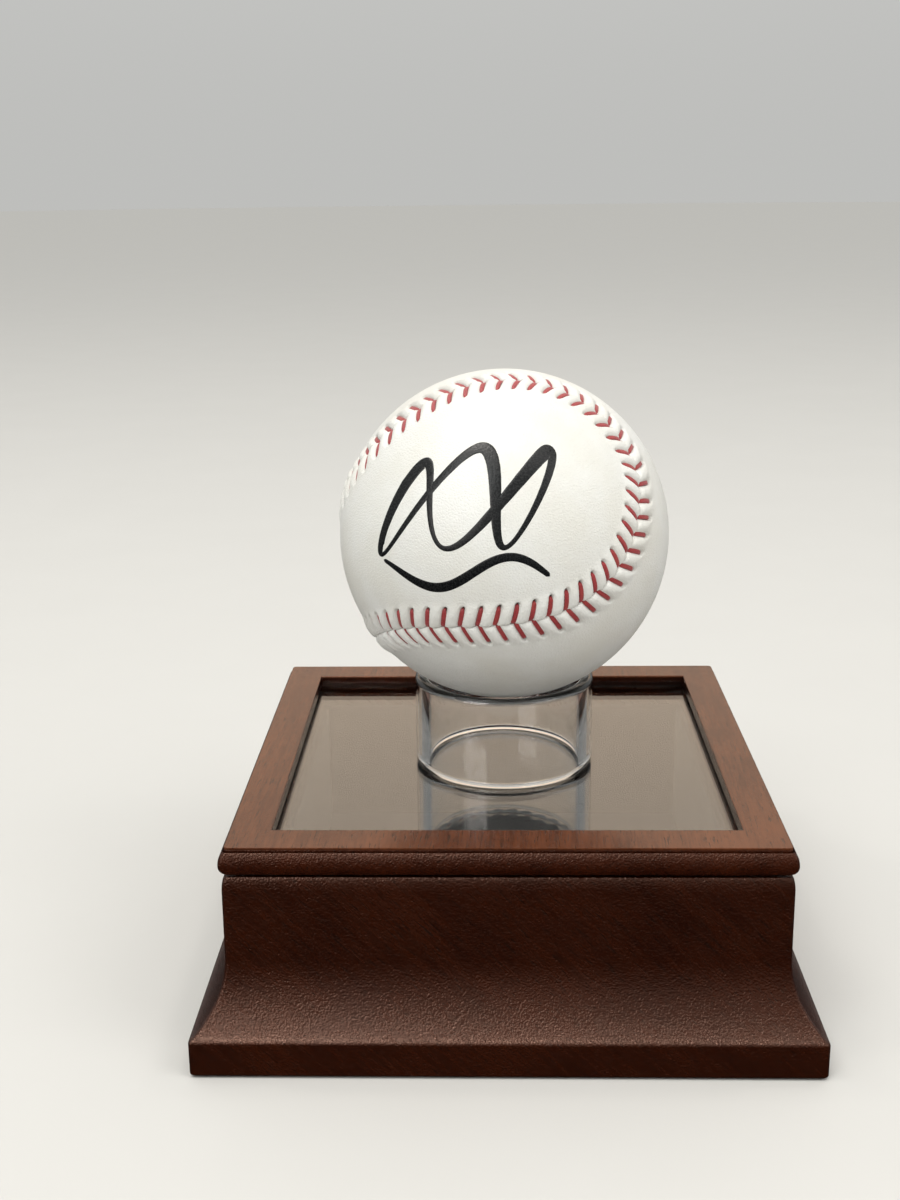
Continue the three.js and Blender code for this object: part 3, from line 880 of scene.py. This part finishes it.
def smooth(x, low, high):
    x = np.clip((x - low) / (high - low), 0, 1)
    return x * x * (3 - 2 * x)


def seam_points(t):
    """Directions from the ball's centre to its seam, which closes after 4 pi."""
    polar = np.pi / 2 - (np.pi / 2 - SEAM_NECK) * np.cos(t)
    azimuth = t / 2 + SEAM_NECK * np.sin(2 * t)
    return np.stack([np.sin(polar) * np.cos(azimuth), np.sin(polar) * np.sin(azimuth),
                     np.cos(polar)], axis=-1)


def seam_table():
    """Small steps along the seam: length so far in millimetres and the curve's parameter."""
    t = np.linspace(0, 4 * np.pi, 20001)
    steps = np.linalg.norm(np.diff(seam_points(t), axis=0), axis=1) * BALL_RADIUS
    return np.concatenate([[0], np.cumsum(steps)]), t


SEAM_RUN, SEAM_T = seam_table()
SEAM_LENGTH = SEAM_RUN[-1]
PITCH = SEAM_LENGTH / STITCHES


def on_ball(along, out, height):
    """Points on the ball: along the seam, out from it (+ towards one cover) and above the ball."""
    t = np.interp(np.mod(along, SEAM_LENGTH), SEAM_RUN, SEAM_T)
    here = seam_points(t)
    across = unit(np.cross(here, seam_points(t + 1e-4)))
    angle = (np.asarray(out) / BALL_RADIUS)[..., None]
    direction = np.cos(angle) * here + np.sin(angle) * across
    return direction * (BALL_RADIUS + np.asarray(height))[..., None]


def place_ball(points):
    """Turns the ball's points as it lies, and sets them on the ring."""
    turns = [Matrix.Rotation(math.radians(a), 3, axis) for a, axis in zip(BALL_TURN, "XYZ")]
    turn = np.array(turns[0] @ turns[1] @ turns[2])
    return points @ turn.T + BALL_CENTRE


def lean(out, side):
    """How far along the seam a stitch's leg lies at a distance from it, on either side."""
    return STITCH_LEAN * out - 0.28 * side


def relief(along, out, side):
    """Height of the leather beside the seam: pillows between stitches, valleys and holes."""
    phase = (along - lean(out, side)) / PITCH
    from_leg = (phase - np.round(phase)) * PITCH
    wobble = 1 + 0.12 * np.sin(1.7 * np.round(phase - 0.5) + 0.4)
    from_crest = (PITCH / 2 - np.abs(from_leg)) / PILLOW_RADIUS
    pillow = np.sqrt(np.clip(1 - from_crest ** 2, 0, 1))
    pillow = pillow + (1 - pillow) * smooth(out, 3.7, 5.0)
    rise = np.sqrt(np.clip(1 - (1 - np.clip(out / 1.25, 0, 1)) ** 2, 0, 1))
    valley = VALLEY * (1 - smooth(out, 3.4, 4.8))
    crest = CREST * wobble * (1 - smooth(out, 2.4, 6.2))
    height = valley + (crest - valley) * pillow * (0.55 + 0.45 * rise)
    hole = np.exp(-((from_leg / 0.52) ** 2 + ((out - HOLE_OUT - 0.25) / 0.50) ** 2) ** 1.5)
    pull = np.exp(-(from_leg / 0.8) ** 2) * np.exp(-((out - HOLE_OUT - 1.0) / 0.8) ** 2)
    return height - HOLE_DEPTH * hole - PULL_DEPTH * pull - LEATHER_DROP


def mirror_pairs(count, side):
    """Points along the seam that face each other across a cover's own mirror plane."""
    half, quarter = count // 2, count // 4
    if side > 0:
        first = np.arange(-quarter, quarter + 1) % count
        return first, (half - np.arange(-quarter, quarter + 1)) % count
    first = np.arange(0, half + 1)
    return first, (count - first) % count


def spread(points, edge, offset, pairs, columns, radius=None):
    """Fills the area inside a closed edge with arcs from each point to its partner.

    The points between are added to the list, and away from the edge they lie at the radius,
    or at the edge's own if none is given. The result is the faces.
    """
    first, second = pairs
    base = sum(len(p) for p in points)
    a, b = edge[first], edge[second]
    at_edge = np.linalg.norm(a, axis=1)
    inside = at_edge.mean() if radius is None else radius
    inner = []
    for share in np.linspace(0, 1, columns + 1)[1:-1]:
        blend = min(1, 8 * min(share, 1 - share))
        length = at_edge * (1 - blend) + inside * blend
        inner.append(slerp(unit(a), unit(b), share) * length[:, None])
    kept = np.stack(inner, axis=1)[1:-1]
    index = np.empty((len(first), columns + 1), int)
    index[:, 0], index[:, -1] = offset + first, offset + second
    index[1:-1, 1:-1] = base + np.arange(kept.shape[0] * kept.shape[1]).reshape(kept.shape[:2])
    index[0, :], index[-1, :] = offset + first[0], offset + first[-1]
    points.append(kept.reshape(-1, 3))
    faces = []
    for i in range(len(first) - 1):
        for j in range(columns):
            corners = (index[i, j], index[i, j + 1], index[i + 1, j + 1], index[i + 1, j])
            corners = tuple(dict.fromkeys(int(c) for c in corners))
            if len(corners) > 2:
                faces.append(corners)
    return faces


def make_cover(node, side):
    """One leather cover: a fine band beside the seam, a plain middle and an inner face."""
    steps_per_stitch = 14
    count = STITCHES * steps_per_stitch
    along = np.arange(count) * SEAM_LENGTH / count
    outs = np.concatenate([[0.03, 0.10, 0.22], np.arange(0.4, 5.4, 0.27), [5.8, 6.4, 7.2]])
    rows = [on_ball(along, np.full(count, side * outs[0]), np.full(count, -LEATHER))]
    rows += [on_ball(along, np.full(count, side * out), relief(along, out, side)) for out in outs]
    band = np.array(rows)
    pairs = mirror_pairs(count, side)
    points = [band.reshape(-1, 3)]
    faces = grid_faces(len(rows), count, close_cols=True)
    last = (len(rows) - 1) * count
    faces += spread(points, band[-1], last, pairs, 20, BALL_RADIUS - LEATHER_DROP)
    faces += [face[::-1] for face in spread(points, band[0], 0, pairs, 12)]
    if side > 0:
        faces = [face[::-1] for face in faces]
    made = new_piece(node + "_leather", place_ball(np.concatenate(points)), faces, sharp=180)
    finish_piece(made, "ball", "leather", node)


def make_stitching():
    """Red doubled thread: two legs for each stitch, from a hole to the seam on either side."""
    outs, heights, widths = np.array(STITCH_STATIONS).T
    section = np.linspace(0, 2 * np.pi, 14, endpoint=False)
    flat = np.cos(section)
    thick = THREAD_HALF_THICK * np.sin(section) * (1 - 0.32 * np.exp(-(flat / 0.28) ** 2))
    bow = 0.16 * np.sin(np.pi * np.clip(outs / HOLE_OUT, 0, 1))
    points, faces = [], []
    for stitch in range(STITCHES):
        for side in (1, -1):
            jitter = rng.normal(0, 0.05)
            along = stitch * PITCH + lean(outs, side) + bow + jitter
            line = on_ball(along, side * outs, heights)
            forward = unit(np.gradient(line, axis=0))
            right = unit(np.cross(forward, unit(line)))
            up = np.cross(right, forward)
            tube = (line[:, None] + right[:, None] * (widths[:, None] * flat)[..., None]
                    + up[:, None] * thick[None, :, None])
            faces += tube_faces(*tube.shape[:2], base=sum(len(p) for p in points))
            points.append(tube.reshape(-1, 3))
    made = new_piece("seam_stitching", place_ball(np.concatenate(points)), faces, sharp=60)
    finish_piece(made, "ball", "thread", "seam_thread")


def flourish_lines():
    """Plain pen strokes with no letters in them: a looped knot and a tail under it.

    Each stroke is (points across and up in millimetres, half width of the pen).
    """
    t = np.linspace(0, 1, 320)
    turn = 2 * np.pi * (1.1 * t - 0.30)
    y = (11.5 - 2.0 * t) * np.cos(3 * turn + 0.25)
    x = -5 + 16.5 * np.sin(turn) + 0.40 * y
    knot = np.stack([x, 6.5 + y + 0.10 * x], axis=1)
    u = np.linspace(0, 1, 90)
    tail = np.stack([-24 + 38 * u, -8.5 - 4.0 * np.sin(2 * np.pi * u ** 1.2) - 1.5 * u], axis=1)
    return [(knot, 0.98 + 0.38 * np.cos(3 * turn + 0.2)),
            (tail, 0.35 + 0.85 * np.sin(np.pi * np.clip(0.06 + 0.9 * u, 0, 1)))]


def make_flourish():
    """Black pen strokes laid on the leather as ribbons of little thickness, with round ends."""
    turn = Matrix.Rotation(math.radians(-7), 3, "Z") @ Matrix.Rotation(math.radians(-15), 3, "X")
    right, out, up = (np.array(turn @ Vector(v)) for v in ((1, 0, 0), (0, -1, 0), (0, 0, 1)))
    # Section of a ribbon: share of its half width, and millimetres above the leather.
    section = np.array([(-1, -0.04), (-0.93, 0.02), (-0.6, 0.04), (0, 0.045), (0.6, 0.04),
                        (0.93, 0.02), (1, -0.04), (0, -0.06)])
    radii = BALL_RADIUS - LEATHER_DROP + section[:, 1]
    points, faces = [], []
    for line, width in flourish_lines():
        forward = unit(np.gradient(line, axis=0))
        beside = np.stack([-forward[:, 1], forward[:, 0]], axis=1)
        run = np.concatenate([[0], np.cumsum(np.linalg.norm(np.diff(line, axis=0), axis=1))])
        from_end = np.minimum(run, run[-1] - run)
        ends = np.sqrt(np.clip(1 - (1 - np.clip(from_end / width, 0.0, 1)) ** 2, 0.02, 1))
        nib = 1 + 0.25 * beside[:, 0]
        half = (width * ends * nib)[:, None]
        flat = line[:, None] + beside[:, None] * (half * section[:, 0])[..., None]
        angle = flat / BALL_RADIUS
        direction = unit(out + np.tan(angle[..., :1]) * right + np.tan(angle[..., 1:]) * up)
        surface = direction * radii[None, :, None] + BALL_CENTRE
        faces += tube_faces(*surface.shape[:2], base=sum(len(p) for p in points))
        points.append(surface.reshape(-1, 3))
    made = new_piece("pen_flourish", np.concatenate(points), faces, sharp=60)
    made.data.materials.append(MATERIALS["ink"])
    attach(made, "ball")


def make_ball():
    """Two covers, the stitching, the pen strokes, and yarn on the CAD core inside them."""
    make_cover("ball_cover_a", 1)
    make_cover("ball_cover_b", -1)
    make_stitching()
    make_flourish()
    core = frame["nodes"]["ball_core"]
    core.data.materials.clear()
    core.data.materials.append(MATERIALS["yarn"])


# ------------------------ camera, floor and light


def make_camera():
    """The camera looks slightly down at the front of the box."""
    pitch, yaw, roll = map(math.radians, (CAMERA_PITCH, CAMERA_YAW, CAMERA_ROLL))
    forward = Vector((math.sin(yaw) * math.cos(pitch), math.cos(yaw) * math.cos(pitch),
                      -math.sin(pitch)))
    level = Vector((math.cos(yaw), -math.sin(yaw), 0))
    above = level.cross(forward)
    right = math.cos(roll) * level + math.sin(roll) * above
    up = math.cos(roll) * above - math.sin(roll) * level
    data = bpy.data.cameras.new("camera")
    data.lens, data.sensor_width = CAMERA_LENS, CAMERA_SENSOR
    data.clip_start, data.clip_end = 0.01, 100
    camera = bpy.data.objects.new("camera", data)
    turn = Matrix((right, up, -forward)).transposed().to_4x4()
    camera.matrix_world = Matrix.Translation(CAMERA_PLACE) @ turn
    bpy.context.scene.collection.objects.link(camera)
    bpy.context.scene.camera = camera


def make_floor():
    """A wide, pale, matt floor."""
    shader = Shader("studio_floor", (0.61, 0.60, 0.58), 0.75, Specular_IOR_Level=0.0)
    grain = shader.noise(shader.coords(), 0.02, 3)
    shader.set("Base Color", shader.mix(grain, (0.60, 0.59, 0.57), (0.62, 0.61, 0.59)))
    floor = lathe("studio_floor", [(0, -0.05), (9000, -0.05)], 96)
    floor.data.materials.append(shader.material)
    floor.visible_glossy = False


def make_world():
    """Soft light from all round: brighter overhead, nearly dark below the horizon."""
    world = bpy.data.worlds.new("studio")
    bpy.context.scene.world = world
    world.use_nodes = True
    tree = world.node_tree
    background = tree.nodes["Background"]
    background.inputs["Color"].default_value = (0.93, 0.932, 0.907, 1)
    place = tree.nodes.new("ShaderNodeTexCoord")
    split = tree.nodes.new("ShaderNodeSeparateXYZ")
    strength = tree.nodes.new("ShaderNodeMath")
    strength.operation = "MULTIPLY"
    tree.links.new(place.outputs["Generated"], split.inputs[0])
    below, above = (-0.12, -0.03, 0.05, 1.0), (0.0, 0.75, 0.555, 0.97)
    for i, values in enumerate((below, above)):
        ramp = tree.nodes.new("ShaderNodeMapRange")
        ramp.interpolation_type = "SMOOTHSTEP"
        for socket, value in zip(("From Min", "From Max", "To Min", "To Max"), values):
            ramp.inputs[socket].default_value = value
        tree.links.new(split.outputs["Z"], ramp.inputs["Value"])
        tree.links.new(ramp.outputs["Result"], strength.inputs[i])
    tree.links.new(strength.outputs[0], background.inputs["Strength"])


def make_light(name, place, aim_z, size, watts, colour, diffuse=True):
    """A soft rectangular light aimed at the box's axis. Without diffuse it only reflects."""
    data = bpy.data.lights.new(name, "AREA")
    data.shape, data.size, data.size_y = "RECTANGLE", size[0], size[1]
    data.energy, data.color = watts, colour
    light = bpy.data.objects.new(name, data)
    light.location = place
    aim = Vector((0, 0, aim_z)) - Vector(place)
    light.rotation_euler = aim.to_track_quat("-Z", "Y").to_euler()
    light.visible_camera = False
    light.visible_diffuse = diffuse
    bpy.context.scene.collection.objects.link(light)


def make_lights():
    """Boxes that only reflect, three soft lights, and small lamps overhead for glints."""
    orange, pink, warm = (1, 0.55, 0.16), (1, 0.93, 0.9), (1, 0.95, 0.9)
    make_light("back_box", (0, 2.6, 1.2), 0.05, (3.0, 1.3), 6.2, orange, diffuse=False)
    make_light("front_box", (-0.85, -1.05, 0.75), 0.03, (0.75, 1.0), 10.0, pink, diffuse=False)
    make_light("left_strip", (-0.32, -0.02, 1.4), 0.03, (0.45, 0.3), 9.0, warm, diffuse=False)
    make_light("key", (-0.45, -0.75, 1.15), 0.08, (0.5, 0.5), 4.4, (0.96, 1, 0.98))
    make_light("fill", (0.9, -0.5, 1.0), 0.09, (0.7, 0.7), 3.8, (1, 0.97, 0.94))
    make_light("overhead", (-0.1, -0.35, 1.35), 0.05, (1.2, 0.45), 3.8, (1, 0.96, 0.91))
    for place in ((-0.5, 0.3, 1.4), (0.45, 0.35, 1.5), (-0.15, -0.3, 1.3), (0.4, -0.3, 1.45),
                  (-0.75, -0.2, 1.3)):
        make_light("lamp", place, 0.06, (0.11, 0.11), 0.9, (1, 0.95, 0.88))
    bpy.context.scene.view_settings.view_transform = "Standard"


make_camera()
make_floor()
make_world()
make_lights()
make_mouldings()
make_discs()
make_panel()
make_pads()
make_lining()
make_lid()
make_stops()
make_hinges()
make_ring()
make_ball()
